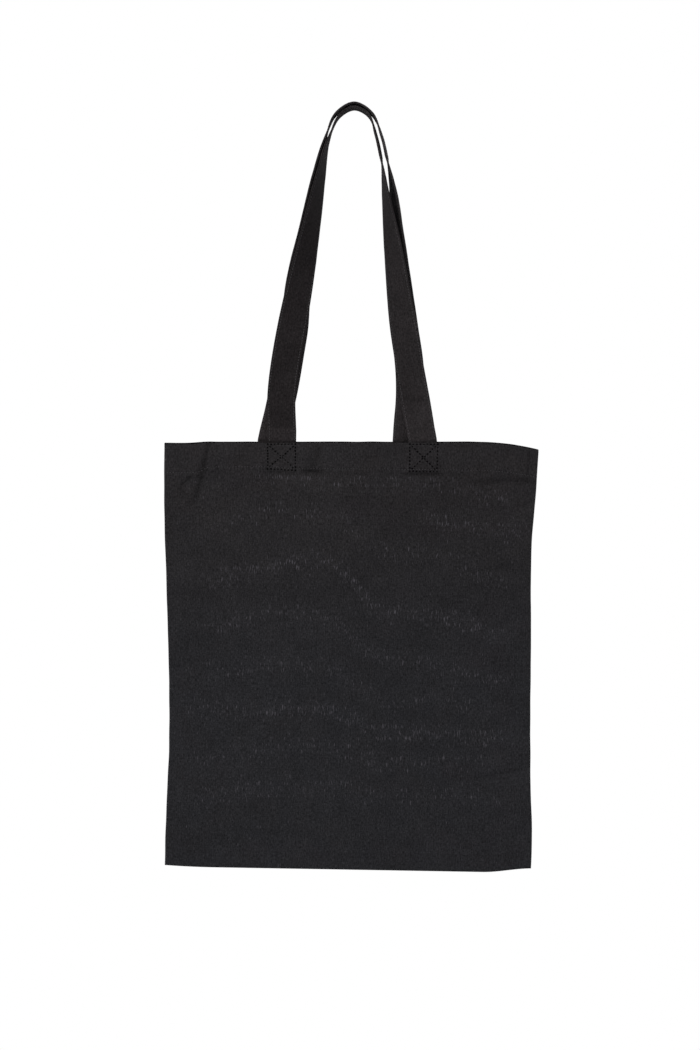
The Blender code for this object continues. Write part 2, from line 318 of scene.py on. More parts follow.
def canvas_material(name, warm, cool, fade, speckle_color):
    """Plain-woven cotton, dyed black. warm and cool are the dye's tones; fade says where, in
    metres along the cloth, one turns into the other."""
    n = Nodes(name, 0.92, 0.02, 0.45, (0.80, 0.80, 0.86), 0.01)
    weave = n.attribute("weave", "Vector")
    x, z = n.part(weave, "X"), n.part(weave, "Y")

    # Yarns over and under; their spacing wavers
    shift = n.remap(n.noise(weave, 260.0), 0.3, 0.7, -0.9, 0.9)
    warp = n.math("SINE", n.plus(n.times(x, math.tau / WARP_PITCH), shift))
    weft = n.math("SINE", n.plus(n.times(z, math.tau / WEFT_PITCH), shift))
    yarn = n.plus(n.times(n.times(warp, weft), 0.5), 0.5)

    # Slubs: thicker, fuzzier stretches of yarn, longer along the cloth than across it
    along = n.noise(n.scaled(weave, (1.0, 0.28, 1.0)), 1250.0, 2.0, 0.65)
    across = n.noise(n.scaled(weave, (0.35, 1.0, 1.0)), 900.0, 1.0)
    streak = n.noise(n.scaled(weave, (1.0, 0.07, 1.0)), 900.0, 2.0, 0.6)
    cloud = n.noise(weave, 16.0, 3.0, 0.55)
    patch = n.noise(weave, 70.0)

    color = n.mix(n.remap(z, *fade, 0.0, 1.0, True), warm, cool)
    middle = tuple((a + b) / 2 for a, b in zip(warm, cool))
    color = n.mix(n.remap(n.noise(weave, 34.0, 1.0), 0.35, 0.65, 0.0, 0.5), color, middle)
    level = n.remap(along, 0.25, 0.75, 0.38, 1.62)
    for value, low, high, swing in (
        (across, 0.3, 0.7, 0.18),
        (yarn, 0.0, 1.0, 0.14),
        (streak, 0.3, 0.7, 0.20),
        (cloud, 0.3, 0.7, 0.07),
        (patch, 0.3, 0.7, 0.06),
    ):
        level = n.times(level, n.remap(value, low, high, 1 - swing, 1 + swing))
    level = n.times(level, n.attribute("tone", "Fac"))
    color = n.add("VectorMath", {0: color, "Scale": level}, operation="SCALE")

    # Short pale dashes where old folds have rubbed the dye off the upright yarns
    dash = n.noise(n.scaled(weave, (1.0, 0.16, 1.0)), 1000.0, 1.0, 0.4)
    cluster = n.remap(n.noise(weave, 130.0), 0.35, 0.65, 0.45, 1.0)
    threshold = n.remap(n.times(n.attribute("speckle", "Fac"), cluster), 0.0, 1.0, 0.73, 0.505)
    spot = n.remap(n.math("SUBTRACT", dash, threshold), 0.0, 0.16, 0.0, 1.0, True)

    relief = n.plus(n.times(yarn, 0.55), n.times(along, 0.75))
    normal = n.bump(relief, 0.55, 0.00035, n.bump(patch, 0.35, 0.0012))
    return n.finish(n.mix(spot, color, speckle_color), n.remap(along, 0.3, 0.7, 0.86, 0.98), normal)


def thread_material(name, dark, light, roughness, sheen, gloss):
    """Twisted sewing thread: fine slanting strands in the dark colour, with a painted highlight in the light
    one, and a low gloss.
    """
    n = Nodes(name, roughness, sheen, 0.35, (0.85, 0.85, 0.9), gloss)
    weave = n.attribute("weave", "Vector")
    slant = n.plus(n.part(weave, "X"), n.part(weave, "Y"))
    strand = n.math("SINE", n.times(slant, math.tau / TWIST_PITCH))
    fuzz = n.noise(weave, 1500.0, 2.0, 0.6)
    share = n.plus(n.times(strand, 0.3), n.remap(fuzz, 0.3, 0.7, 0.1, 0.9), True)
    rough = n.remap(fuzz, 0.3, 0.7, roughness - 0.08, roughness + 0.08)
    return n.finish(n.mix(share, dark, light), rough, n.bump(n.plus(strand, fuzz), 0.4, 0.00012))


BODY_FADE = (TOP - 0.02, TOP - 0.26)
CANVAS = canvas_material(
    "black_canvas",
    warm=(0.0158, 0.0146, 0.0154),
    cool=(0.0148, 0.0148, 0.0166),
    fade=BODY_FADE,
    speckle_color=(0.050, 0.047, 0.054),
)
STRAP = canvas_material(
    "folded_canvas_strap",
    warm=(0.0150, 0.0130, 0.0136),
    cool=(0.0150, 0.0134, 0.0140),
    fade=(0.0, 0.7),
    speckle_color=(0.040, 0.037, 0.040),
)
OVERLOCK = canvas_material(
    "overlocked_edge",
    warm=(0.0140, 0.0130, 0.0138),
    cool=(0.0140, 0.0136, 0.0146),
    fade=BODY_FADE,
    speckle_color=(0.050, 0.050, 0.056),
)
# Each thread's second colour is a painted highlight on its strands.
THREAD = thread_material(
    "black_thread", (0.0135, 0.0128, 0.0136), (0.068, 0.064, 0.069), 0.62, 0.02, 0.06
)
EDGE_THREAD = thread_material(
    "edge_thread", (0.022, 0.021, 0.022), (0.100, 0.094, 0.101), 0.62, 0.02, 0.06
)
BOX_THREAD = thread_material(
    "dark_thread", (0.0125, 0.0118, 0.0126), (0.029, 0.0275, 0.0295), 0.7, 0.0, 0.02
)
# Near-black flat marks at the needle holes, painted shade.
NEEDLE_HOLE_SHADE = thread_material(
    "needle_hole_shade", (0.0012, 0.0011, 0.0012), (0.004, 0.0037, 0.004), 0.85, 0.0, 0.0
)


# ---- the panels' shape

# The body's sides, which draw in a little in the middle: (depth below the hem's edge, x)
LEFT_EDGE = [
    (0.0, -0.1846), (0.060, -0.1848), (0.150, -0.1823),
    (0.290, -0.1799), (0.375, -0.1831), (0.421, -0.1844),
]
RIGHT_EDGE = [
    (0.0, 0.1856), (0.043, 0.1830), (0.090, 0.1793), (0.200, 0.1780),
    (0.340, 0.1777), (0.395, 0.1790), (0.421, 0.1779),
]

# Old fold lines that run across the front in two arcs, high on the left and, past a steep
# fall, low on the right. Each is (depth of the left arc's crown, rise of the arc, fall between
# the arcs, further drop to the right, how strongly the dye is worn there, between which x).
FOLDS = [
    (0.036, 0.0, 0.004, 0.013, 0.8, -0.11, 0.17),
    (0.066, 0.016, 0.043, 0.03, 0.75, -0.15, 0.17),
    (0.07, 0.0, 0.004, 0.014, 0.9, 0.06, 0.18),
    (0.115, 0.022, 0.056, 0.016, 0.95, -0.15, 0.17),
    (0.167, 0.012, 0.051, 0.014, 0.8, -0.16, 0.17),
    (0.221, 0.006, 0.034, 0.01, 0.75, -0.18, 0.16),
    (0.265, -0.003, 0.022, 0.008, 0.95, -0.17, 0.17),
    (0.299, 0.011, 0.016, 0.003, 0.75, -0.17, 0.16),
    (0.338, 0.014, 0.01, 0.002, 0.8, -0.17, 0.16),
    (0.376, 0.003, 0.006, 0.0, 0.35, -0.18, -0.04),
]

# Creases in the front, as (x, depth) from one end to the other, then how deep they are, how
# wide, and how much painted shade darkens the cloth in them.
CREASES = [
    ((-0.139, -0.004), (-0.144, 0.026), 0.0013, 0.0021, 0.42),
    ((-0.144, 0.026), (-0.1535, 0.058), 0.0009, 0.0023, 0.36),
    ((-0.156, 0.03), (-0.167, 0.04), 0.0005, 0.0008, 0.55),
    ((0.174, 0.003), (0.1735, 0.03), 0.0005, 0.0008, 0.5),
    ((0.118, 0.0395), (0.179, 0.0325), 0.0009, 0.0034, 0.2),
    ((-0.031, 0.004), (-0.0405, 0.029), 0.0008, 0.0046, 0.24),
    ((-0.048, 0.0285), (-0.027, 0.029), 0.0004, 0.0019, 0.38),
    ((0.052, 0.0305), (0.09, 0.031), 0.0004, 0.002, 0.22),
    ((-0.08, 0.031), (-0.054, 0.031), 0.0003, 0.002, 0.16),
    ((0.119, 0.1275), (0.161, 0.1215), 0.0005, 0.003, 0.1),
    ((0.128, 0.331), (0.174, 0.322), 0.0006, 0.0026, 0.16),
    ((0.168, 0.06), (0.18, 0.053), 0.0005, 0.002, 0.12),
    ((-0.125, 0.383), (-0.02, 0.386), 0.0002, 0.003, 0.04),
]
# The unseen back has a few shallow creases of its own, from the same folding and hanging.
BACK_CREASES = [
    ((0.13, 0.002), (0.14, 0.048), 0.0009, 0.0026, 0.22),
    ((-0.164, 0.033), (-0.115, 0.039), 0.0006, 0.003, 0.15),
    ((-0.02, 0.03), (0.025, 0.029), 0.0004, 0.0018, 0.16),
    ((-0.17, 0.22), (-0.12, 0.229), 0.0005, 0.0028, 0.12),
]

BROAD = {FRONT: Waves(11, 0.110), BACK: Waves(21, 0.120)}
FINE = {FRONT: Waves(12, 0.026), BACK: Waves(22, 0.026)}
CRUMPLE = {FRONT: Waves(13, 0.0095), BACK: Waves(23, 0.0095)}
PUCKER = {FRONT: Waves(14, 0.0062, 2.5), BACK: Waves(24, 0.0062, 2.5)}
EDGE_WAVE = Waves(31, 0.045)
WORN_ALL_OVER = 0.14


def fold_line(fold, x, side):
    """Depth of an old fold at x. The back has the same folds, since the bag was folded whole."""
    crown, rise, fall, drop = fold[:4]
    line = crown + rise * smooth(-x, 0.045, 0.150) + fall * smooth(x, -0.030, 0.040)
    return line + drop * smooth(x, 0.080, 0.165) + 0.0022 * BROAD[side](x, crown)


def fold_strength(fold, x):
    """How strongly a fold shows at x, from 0 to 1."""
    strength, first, last = fold[4:]
    starts = smooth(x, first - 0.012, first + 0.022)
    return starts * (1 - smooth(x, last - 0.022, last + 0.012)) * strength


def worn(x, depth, side):
    """How much an old fold has rubbed the dye away, from 0 to 1."""
    total = np.zeros(np.broadcast(x, depth).shape)
    for fold in FOLDS:
        off = depth - fold_line(fold, x, side)
        total = np.maximum(total, fold_strength(fold, x) * bell(off, 0.0135))
    return np.maximum(total, WORN_ALL_OVER) * smooth(depth, HEM_HEIGHT, HEM_HEIGHT + 0.005)


def crease(x, depth, start, end, width):
    """(nearness to a crease, which side of it) at (x, depth)."""
    (x0, d0), (x1, d1) = start, end
    length = math.hypot(x1 - x0, d1 - d0)
    ux, ud = (x1 - x0) / length, (d1 - d0) / length
    along = (x - x0) * ux + (depth - d0) * ud
    off = (x - x0) * ud - (depth - d0) * ux
    fade = 0.18 * length
    reach = smooth(along, -fade, fade) * (1 - smooth(along, length - fade, length + fade))
    return reach * bell(off, width), reach * off / width * bell(off, width * 1.5)


def near_straps(x, depth, side):
    """1 on the patches of hem that the straps are sewn to, and 0 away from them."""
    places = STRAPS_AT[side]
    across = sum(1 - smooth(np.abs(x - place), 0.0135, 0.020) for place in places)
    return across * (1 - smooth(depth, 0.026, 0.033))


def relief(x, z, side):
    """How far the cloth stands out from its CAD surface, in metres, and its tone."""
    depth = TOP - z
    edge = WIDTH / 2 - np.abs(x)
    calm = smooth(edge, 0.001, 0.020) * smooth(HEIGHT - depth, 0.001, 0.022)
    out = calm * (0.00062 * BROAD[side](x, z) + 0.00014 * FINE[side](x, z))
    out += 0.00004 * CRUMPLE[side](x, z)
    tone = 1.0 + 0.025 * FINE[side](x, z)
    for fold in FOLDS:
        off = depth - fold_line(fold, x, side)
        shown = fold_strength(fold, x)
        out += calm * shown * (0.00042 * bell(off, 0.0085) - 0.00020 * bell(off - 0.017, 0.010))
        tone += 0.05 * shown * bell(off, 0.008)
    for start, end, deep, width, dark in CREASES if side == FRONT else BACK_CREASES:
        near, beside = crease(x, depth, start, end, width)
        out -= deep * (near - 0.8 * beside)
        # painted shade along each crease
        tone -= dark * near
    # The hem: three layers stand proud of one, held down along the stitch row
    hem = 1 - smooth(depth, HEM_HEIGHT - 0.0012, HEM_HEIGHT + 0.0022)
    row = depth - HEM_STITCH_DROP
    pull = PUCKER[side](x, z)
    out += 0.00030 * hem - 0.00030 * bell(row, 0.0010) + 0.00016 * pull * bell(row, 0.0042)
    # Painted light and shade: the proud hem and the tops of its puckers a little lighter, the stitch row's
    # groove and the step just below the hem darker.
    tone += 0.035 * hem + 0.06 * np.clip(pull, 0, 1) * bell(row, 0.0035)
    tone -= 0.10 * bell(row + 0.0003, 0.0007) + 0.06 * bell(depth - HEM_HEIGHT - 0.0022, 0.0022)
    # The straps' sewn ends lift the hem in a soft patch
    patch = near_straps(x, depth, side)
    out = out * (1 - 0.75 * patch) + 0.00022 * patch
    # Under the cloth the seam allowances draw faint ridges along the sides and the bottom
    below = smooth(depth, 0.030, 0.036)
    out += 0.00013 * below * bell(edge - 0.0125, 0.0016) + 0.00012 * bell(HEIGHT - depth - 0.0185, 0.0016)
    # painted light on the ridges and painted shade beside the bottom one
    tone += 0.05 * below * bell(edge - 0.0135, 0.0012) + 0.06 * bell(HEIGHT - depth - 0.0190, 0.0012)
    tone -= 0.05 * bell(HEIGHT - depth - 0.0165, 0.0016)
    # Edges, and the top edge too, are a little paler: partly wear and partly a painted highlight where the
    # rounded cloth turns to the light
    tone += 0.10 * bell(edge, 0.0014) + 0.05 * bell(depth, 0.0015)
    return out, tone


def bow(x, z):
    along = np.sin(np.clip((z - BOTTOM) / HEIGHT, 0, 1) * math.pi / 2)
    return MOUTH_BOW * along * np.cos(math.pi * np.clip(x / WIDTH, -0.5, 0.5)) ** 2


EDGE_ROUND = 0.0021  # how far in from its folded edge the cloth comes to lie flat
SEAM_GROOVE = 0.00012


def top_droop(x):
    """How far the mouth's edge hangs below a straight line: the right corner droops."""
    return 0.0075 * np.clip((x - 0.115) / 0.070, 0, 1.05) ** 2.3 + 0.0012 * smooth(-x, 0.137, 0.165)


def bottom_droop(x):
    """How far the bottom hangs below a straight line: lower on the right, with lifted corners."""
    corners = 0.0015 * np.clip((-x - 0.135) / 0.050, 0, 1.05) ** 2 + 0.0044 * smooth(x, 0.130, 0.180)
    return 0.0010 + 0.0175 * x - corners


def hem_row_drop(x):
    """How far the hem's stitch row lies below its straight line: it jogs up past the tuck."""
    settles = 0.0021 * smooth(x, -0.088, -0.045) + 0.0012 * smooth(x, -0.020, 0.150)
    return 0.0014 - 0.0046 * smooth(x, -0.154, -0.138) + settles


def outline(x, z):
    """The CAD rectangle's (x, z) moved to the bag's own outline."""
    depth = TOP - z
    left = through(LEFT_EDGE, depth)
    right = through(RIGHT_EDGE, depth)
    wave = 0.0002 * EDGE_WAVE(0.0, z)
    left, right = left + wave, right + wave * 0.8
    share = x / (WIDTH / 2)
    moved = np.where(share < 0, -share * left, share * right)
    moved = np.where(np.abs(x) < 0.09, x + (moved - x) * smooth(np.abs(x), 0.03, 0.09), moved)
    sag = top_droop(moved) * (1 - smooth(depth, 0.010, 0.130))
    sag = sag + bottom_droop(moved) * smooth(depth, HEIGHT - 0.110, HEIGHT)
    at_row = smooth(depth, 0.004, 0.024) * (1 - smooth(depth, 0.034, 0.085))
    return moved, z - sag - hem_row_drop(moved) * at_row


def panel_point(side, x, z, inner=False, extra=0.0):
    """The place of a point of a panel's cloth, from its x and z on the CAD's rectangle.

    extra lies outside the outer face, or inside the inner one, by that distance.
    """
    x, z = np.broadcast_arrays(np.asarray(x, float), np.asarray(z, float))
    out, _ = relief(x, z, side)
    edge = np.minimum(WIDTH / 2 - np.abs(x), z - BOTTOM)
    height = (SHELL + out + (bow(x, z) if side == FRONT else 0.0)) * round_off(edge / EDGE_ROUND)
    height = np.maximum(height, SEAM_GROOVE)
    if inner:
        hem = smooth(z, TOP - HEM_HEIGHT - 0.0004, TOP - HEM_HEIGHT + 0.0002)
        height = height - CLOTH - (HEM_THICKNESS - CLOTH) * hem
        height = np.maximum(height, SEAM_GROOVE * 0.4) - extra
    else:
        height = height + extra
    px, pz = outline(x, z)
    return np.stack([px, SEAM_PLANE + side * height, pz], -1)


def side_weight(x):
    """How much of the front panel's swing a point takes: none at the side seams, all of it
    where the straps are sewn."""
    return 1 - smooth(np.abs(x), 0.094, 0.178)


COLUMN_STEP = 0.00125
ROW_STEP = 0.0017
EDGE_STEPS = np.array([0.0, 0.0003, 0.0007, 0.0012, 0.0018, 0.0025, 0.0036])  # then from 5 mm on


def columns():
    """x of the panels' columns: closer together near the side seams."""
    half = WIDTH / 2
    inside = np.linspace(-half + 0.005, half - 0.005, round((WIDTH - 0.010) / COLUMN_STEP) + 1)
    return np.concatenate([-half + EDGE_STEPS, inside, (half - EDGE_STEPS)[::-1]])


def make_panel(name, side, top_rise, rim_shade):
    """A panel of cloth with its hem folded inward, one closed skin over inner and outer face,
    and the x of each of its points on the CAD's rectangle."""
    xs = columns()
    body = np.linspace(BOTTOM + 0.005, TOP - 0.040, round((HEIGHT - 0.045) / ROW_STEP))
    hem_base = TOP - HEM_HEIGHT
    hem = np.concatenate([
        np.linspace(TOP - 0.0390, hem_base - 0.0010, 11),
        hem_base + np.array([-0.0005, -0.0002, 0.0001, 0.0004]),
        np.linspace(hem_base + 0.0008, hem_base + 0.0045, 6),
        np.linspace(hem_base + 0.0055, TOP - 0.0020, 20),
    ])
    levels = np.concatenate([BOTTOM + EDGE_STEPS, body, hem])
    x, z = np.meshgrid(xs, levels, indexing="ij")
    outer = panel_point(side, x, z)
    inner = panel_point(side, x, z, inner=True)
    # Over the top the cloth rolls from the outer face to the inner one
    roll = HEM_THICKNESS / 2
    turn = np.linspace(0, math.pi, 10)
    top_x = xs[:, None] + 0 * turn[None, :]
    rim_out = panel_point(side, xs, TOP - roll)[:, None, :]
    rim_in = panel_point(side, xs, TOP - roll, inner=True)[:, None, :]
    middle, reach = (rim_out + rim_in) / 2, (rim_out - rim_in) / 2
    rim = middle + reach * np.cos(turn)[None, :, None]
    rim[:, :, 2] += np.sin(turn)[None, :] * np.minimum(roll, np.abs(reach[:, :, 1]) + 0.0003)
    rim[:, :, 2] += 0.00012 * FINE[side](top_x, 0.0) * np.sin(turn)[None, :]
    rings = np.concatenate([outer, rim, inner[:, ::-1]], 1)
    rings[:, :, 2] += top_rise * smooth(rings[:, :, 2], TOP - 0.030, TOP)
    piece = ringed(name, rings, CANVAS)

    tone, rim_tone = relief(x, z, side)[1], relief(top_x, TOP, side)[1]
    # The inner face is painted a little darker, and its top few millimetres and the rim darker still by
    # rim_shade: painted shade inside the mouth.
    inside = 0.95 - (0.97 - rim_shade) * smooth(z, TOP - 0.0045, TOP - 0.0020)
    flat = np.stack([x, z, 0 * x], -1)
    flat_rim = np.stack([top_x, TOP + 0 * top_x + roll * np.sin(turn / 2)[None, :], 0 * top_x], -1)
    flat_in = np.stack([x, 2 * TOP - z, 0 * x], -1)
    paint(
        piece,
        weave=np.concatenate([flat, flat_rim, flat_in[:, ::-1]], 1),
        tone=np.concatenate([tone, rim_tone * rim_shade, inside[:, ::-1]], 1),
        speckle=np.concatenate([worn(x, TOP - z, side), 0 * rim_tone, 0 * inside], 1),
    )
    return piece, np.repeat(xs, rings.shape[1])


LOW_EDGE = 0.010


def swing_with_mouth(piece, weights):
    """Bakes piece's transform into its mesh and works out from weights how much of the front
    panel's swing each point would take, none at the bottom edge, which sags below the hinge.
    Nothing uses that share, so piece doesn't bend."""
    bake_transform(piece)
    height = np.array([v.co.z for v in piece.data.vertices]) - BOTTOM
    weights = weights * smooth(height, 0.0, LOW_EDGE)


# ---- straps

def smooth_curve(points, step):
    """Points about a step apart on a smooth curve through the given ones."""
    points = np.array(points)
    chords = np.linalg.norm(np.diff(points, axis=0), axis=1)
    at = np.concatenate([[0.0], np.cumsum(chords)])
    slopes = np.gradient(points, at, axis=0)
    wanted = np.linspace(0.0, at[-1], round(at[-1] / step) + 1)
    i = np.clip(np.searchsorted(at, wanted, side="right") - 1, 0, len(chords) - 1)
    length = chords[i][:, None]
    t = (wanted[:, None] - at[i][:, None]) / length
    return cubic(t, length, points[i], slopes[i], points[i + 1], slopes[i + 1])


STRAP_EDGE_ROUND = 0.0011


class Strap:
    """A handle from one sewn end over the arch to the other.

    at(s, a, b) gives the place of a point s metres along it, a metres across its middle line
    and b metres out from its middle plane, away from the inside of the loop.
    """

    STEP = 0.0022

    def __init__(self, side, route, tilt, seed):
        self.side = side
        places = STRAPS_AT[side]
        end_y = self.sewn_y()
        loop = smooth_curve([(x, end_y * share, TOP + height) for x, share, height in route], self.STEP)
        drop = np.linspace(SEWN_DEPTH, 0.0012, 12)
        first, last = (np.stack([0 * drop + x, 0 * drop + end_y, TOP - drop], -1) for x in places)
        line = np.concatenate([first, loop, last[::-1]])
        # the bend at the hem is eased over a few millimetres
        for _ in range(3):
            line[1:-1] = line[1:-1] * 0.5 + (line[:-2] + line[2:]) * 0.25
        self.line = line
        along = np.gradient(line, axis=0)
        along /= np.linalg.norm(along, axis=1)[:, None]
        height = line[:, 2] - TOP
        apex = int(line[:, 2].argmax())
        left = np.arange(len(line)) < apex
        angle = np.where(left, *(self.turned(height, turns, tilt) for turns in (LEFT_TURNS, RIGHT_TURNS)))
        inward = np.stack([along[:, 2], 0 * angle, -along[:, 0]], -1)
        inward /= np.linalg.norm(inward, axis=1)[:, None]
        across = inward * np.cos(angle)[:, None]
        across[:, 1] = np.sin(angle)
        across -= (across * along).sum(1)[:, None] * along
        across /= np.linalg.norm(across, axis=1)[:, None]
        self.along, self.across, self.out = along, across, np.cross(along, across)
        steps = np.linalg.norm(np.diff(line, axis=0), axis=1)
        self.s = np.concatenate([[0.0], np.cumsum(steps)])
        self.length = float(self.s[-1])
        self.height = height
        self.left = left.astype(float)
        self.waves = Waves(seed, 0.050)
        self.fine = Waves(seed + 1, 0.013)

    def sewn_y(self):
        """y of the middle of the strap's sewn ends, inside the hem."""
        x = float(np.mean(np.abs(STRAPS_AT[self.side])))
        shell = SHELL + (bow(x, TOP) if self.side == FRONT else 0.0)
        inner = SEAM_PLANE + self.side * (shell - HEM_THICKNESS)
        return float(inner - self.side * (LAP + STRAP_THICKNESS / 2))

    @staticmethod
    def turned(height, turns, tilt):
        at_hem = tilt * (1 - np.clip(height / turns[0][0], 0.0, 1.0))
        return at_hem + np.radians(np.interp(height, *zip(*turns)))

    def pick(self, values, s):
        """Places or directions along the strap, at s."""
        return np.stack([np.interp(s, self.s, values[:, i]) for i in range(3)], -1)

    def at(self, s, a, b):
        s, a, b = np.broadcast_arrays(s, a, b)
        aside, off = self.pick(self.across, s) * a[..., None], self.pick(self.out, s) * b[..., None]
        return self.pick(self.line, s) + aside + off

    def leg(self, s):
        """Height above the hem, and 1 on the left leg or 0 on the right one."""
        return np.interp(s, self.s, self.height), np.interp(s, self.s, self.left)

    def free(self, s):
        """0 where the strap is sewn to the hem, 1 from a little above it."""
        return smooth(self.leg(s)[0], 0.0, 0.012)

    def surface(self, s, a, face):
        """How far the cloth's face (1 outer, -1 inner) lies from the middle plane."""
        height, left = self.leg(s)
        rim = STRAP_WIDTH / 2 - np.abs(a)
        thick = STRAP_THICKNESS / 2 * (0.52 + 0.48 * round_off(rim / STRAP_EDGE_ROUND))
        row = rim - EDGE_STITCH_INSET
        thick = thick - 0.00016 * bell(row, 0.0007)
        thick = thick + 0.00005 * self.fine(s, a * 3.0) * bell(row, 0.003)
        bend = 0.00020 * self.waves(s, a * 0.6) + 0.00030 * bell(a, 0.010) * self.waves(s * 0.5, 0.3)
        # the two straps nest closely towards the arch and pass each other as they move
        bend = bend * (1 - 0.75 * smooth(height, 0.130, 0.190)) * (1 - smooth(height, 0.240, 0.285))
        # soft ripples across the strap above the hem
        low = bell(height - 0.012, 0.014)
        bend = bend + 0.00030 * low * np.sin(height * math.tau / 0.0105 + a * 60.0)
        if self.side == FRONT:
            bend = bend + 0.00045 * (bell(height - 0.0530 - 0.06 * a, 0.0020) * (1 - left))
            bend = bend - 0.00035 * (bell(height - 0.0165 + 0.10 * a, 0.0016) * left)
        return face * thick + bend * self.free(s)

    def tone(self, s, a, face):
        """The cloth's lightness: rims paler, partly from wear and partly a painted highlight, and
        painted light and shade at the hem, along the stitch rows, in the creases and on each leg.
        """
        height, left = self.leg(s)
        rim = STRAP_WIDTH / 2 - np.abs(a)
        # rims a little paler, partly wear and partly a painted highlight; painted shade along the stitch row
        tone = 1.0 + 0.16 * bell(rim, 0.0011) - 0.10 * bell(rim - EDGE_STITCH_INSET, 0.0007)
        tone = tone + 0.05 * self.waves(s, a) + 0.03 * self.fine(s, a)
        # painted shadow where the strap comes out from under the hem
        tone = tone - 0.55 * bell(height - 0.0004, 0.0011)
        if face > 0:  # the face towards the back, which nothing shades
            left_leg_light = right_leg_light = 1.05
        elif self.side == FRONT:
            # painted shade in the creases low on each leg, and a painted highlight just below the left one
            tone = tone - 0.20 * bell(height - 0.0430 - 0.25 * a, 0.0022) * (1 - left) * bell(a, 0.012)
            tone = tone - 0.16 * bell(height - 0.0170 + 0.10 * a, 0.0026) * left
            tone = tone + 0.14 * bell(height - 0.0135 + 0.10 * a, 0.0018) * left
            # painted light and shade for each leg: the left leg, turned from the key light, darker, the right
            # one lighter
            left_leg_light = 1.06 - 0.22 * smooth(height, 0.012, 0.024) - 0.22 * smooth(height, 0.190, 0.260)
            right_leg_light = 1.24 - 0.20 * smooth(height, 0.030, 0.070) - 0.12 * smooth(height, 0.120, 0.200)
        else:
            # painted light on the back strap's base, where the front strap shades it, and towards the arch
            left_leg_light = 1.45 - 0.45 * smooth(height, 0.035, 0.085) + 0.25 * smooth(height, 0.100, 0.220)
            right_leg_light = left_leg_light
        # a painted highlight on edges that stand towards the light, over the arch
        tone = tone + 0.25 * smooth(height, 0.270, 0.300) * bell(rim, 0.0035)
        return tone * (left_leg_light * left + right_leg_light * (1 - left))


def make_strap(name, strap):
    """A strap of canvas folded in four: one closed skin over both faces."""
    half = STRAP_WIDTH / 2
    rim = np.array([
        0.0, 0.00012, 0.00035, 0.0007, 0.0012, 0.0018, 0.0024,
        0.0029, 0.0034, 0.0040, 0.0050, 0.0065, 0.0085, 0.0110,
    ])
    a = np.concatenate([-half + rim, [0.0], (half - rim)[::-1]])
    s = np.unique(np.concatenate([
        [0.0, 0.0002, 0.0006, 0.0012],
        np.arange(0.0020, strap.length - 0.0020, 0.0019),
        strap.length - np.array([0.0020, 0.0012, 0.0006, 0.0002, 0.0]),
    ]))
    closing = 0.35 + 0.65 * round_off(np.minimum(s, strap.length - s) / STRAP_EDGE_ROUND)
    edge_wave = 0.00022 * strap.waves(s, 0.7) * strap.free(s)
    ss, aa = np.meshgrid(s, a, indexing="ij")
    wide = aa * (1 + edge_wave[:, None] / half)
    middle = (strap.surface(ss, aa, 1) + strap.surface(ss, aa, -1)) / 2
    faces = []
    for face in (1, -1):
        b = middle + (strap.surface(ss, aa, face) - middle) * closing[:, None]
        faces.append(strap.at(ss, wide, b))
    # along one edge the two folded layers meet in a groove, along the other they are one fold
    groove = (half - 0.00030) * (1 + edge_wave / half)
    open_edge = [strap.at(s, groove, middle[:, -1] + 0.00004 * face)[:, None] for face in (1, -1)]
    fold = -half * (1 + edge_wave / half) - 0.00022
    closed = [strap.at(s, fold, middle[:, 0] + 0.00016 * face)[:, None] for face in (1, -1)]
    rings = np.concatenate([closed[0], faces[0], open_edge[0], open_edge[1], faces[1][:, ::-1], closed[1]], 1)
    piece = ringed(name, rings, STRAP)
    rear, fore = strap.tone(ss, aa, 1), strap.tone(ss, aa, -1)
    pad = np.ones((len(s), 1))
    paint(
        piece,
        weave=np.stack([
            np.concatenate([-half * pad, aa, half * pad, half * pad, aa[:, ::-1] + 0.1, -half * pad], 1),
            np.repeat(s[:, None], rings.shape[1], 1),
            np.zeros(rings.shape[:2]),
        ], -1),
        # the open edge's groove is painted darker: painted shade
        tone=np.concatenate([
            rear[:, :1], rear, rear[:, -1:] * 0.8, fore[:, -1:] * 0.8, fore[:, ::-1], fore[:, :1],
        ], 1),
        speckle=np.full(rings.shape[:2], 0.10),
    )
    return piece


# ---- stitches

STITCH = 0.0028
BOX_STITCH = 0.0034
STITCH_RADIUS = 0.00021
HEM_DIMPLE = 0.00052
BOX_DIMPLE = 0.00155
STRAP_DIMPLE = 0.0006
SIDES = 6  # of a thread
STATIONS = np.array([0.0, 0.07, 0.22, 0.5, 0.78, 0.93, 1.0])  # along a stitch, as shares of it
GIRTH = np.array([0.35, 0.75, 1.0, 1.0, 1.0, 0.75, 0.35])
DIP = np.array([1.0, 0.55, 0.12, 0.0, 0.12, 0.55, 1.0])


def stitch_points(start, end, normal, wide=1.0, tall=0.9, sink=1.3, radius=STITCH_RADIUS):
    """Points of one rounded stitch for each row of start, end and normal.

    The thread lies along from start to end and sinks into the cloth at both. It is wide across
    the row and tall off the cloth, all three in radii.
    """
    turns = np.arange(SIDES) * math.tau / SIDES + math.tau / (2 * SIDES)
    along = end - start
    along = along / np.maximum(np.linalg.norm(along, axis=-1, keepdims=True), 1e-9)
    side = np.cross(normal, along)
    side /= np.linalg.norm(side, axis=-1, keepdims=True)
    up = np.cross(along, side)
    t, girth, dip = (values[None, :, None, None] for values in (STATIONS, GIRTH, DIP))
    base = start[:, None, None] + (end - start)[:, None, None] * t
    c = (np.cos(turns)[None, None, :, None] * (wide * radius)) * girth
    h = (np.sin(turns)[None, None, :, None] * (tall * radius)) * girth
    return base + side[:, None, None] * c + up[:, None, None] * (h - sink * radius * dip)


